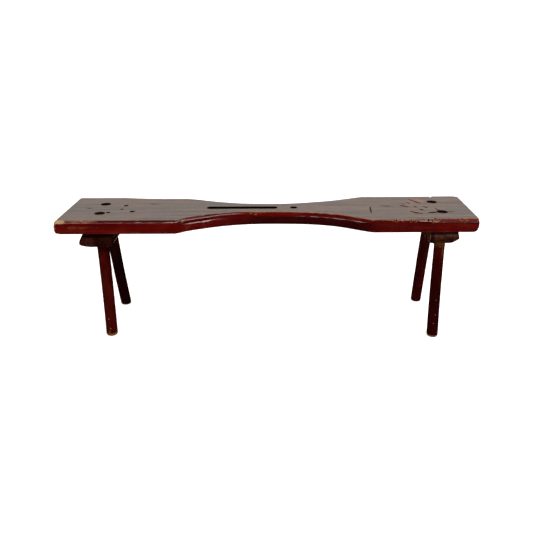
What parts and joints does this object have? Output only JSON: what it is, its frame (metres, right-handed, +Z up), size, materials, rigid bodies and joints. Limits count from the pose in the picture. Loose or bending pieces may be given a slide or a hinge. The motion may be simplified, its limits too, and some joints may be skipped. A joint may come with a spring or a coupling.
{
  "type": "straddle work bench",
  "caption": "Low hand-made wooden bench: a long plank with a narrow waist, a slot and a peg hole, cross cleats under its ends and splayed round legs with wedged through tenons.",
  "frame": {"origin": "on the floor, under the middle of the bench", "axes": "+X along the bench, +Y towards its back edge, +Z up"},
  "size_m": [1.415, 0.33, 0.429],
  "materials": {
    "plank_wood": "dark red-brown varnish, semi-gloss, worn to bare wood along its edges",
    "cleat_wood": "dark brown varnish over hewn wood, semi-gloss",
    "leg_wood": "dark red varnish over shaved wood, semi-gloss, feet worn bare",
    "wedge_wood": "end grain, dark with age, dull",
    "nail_iron": "blackened, lightly rusted"
  },
  "bodies": {
    "root": {"seat_plank": "plank_wood", "left_cleat": "cleat_wood", "right_cleat": "cleat_wood", "left_cleat_nails": "nail_iron", "right_cleat_nails": "nail_iron", "front_left_leg": "leg_wood", "back_left_leg": "leg_wood", "front_right_leg": "leg_wood", "back_right_leg": "leg_wood", "front_left_wedge": "wedge_wood", "back_left_wedge": "wedge_wood", "front_right_wedge": "wedge_wood", "back_right_wedge": "wedge_wood"}
  },
  "joints": []
}
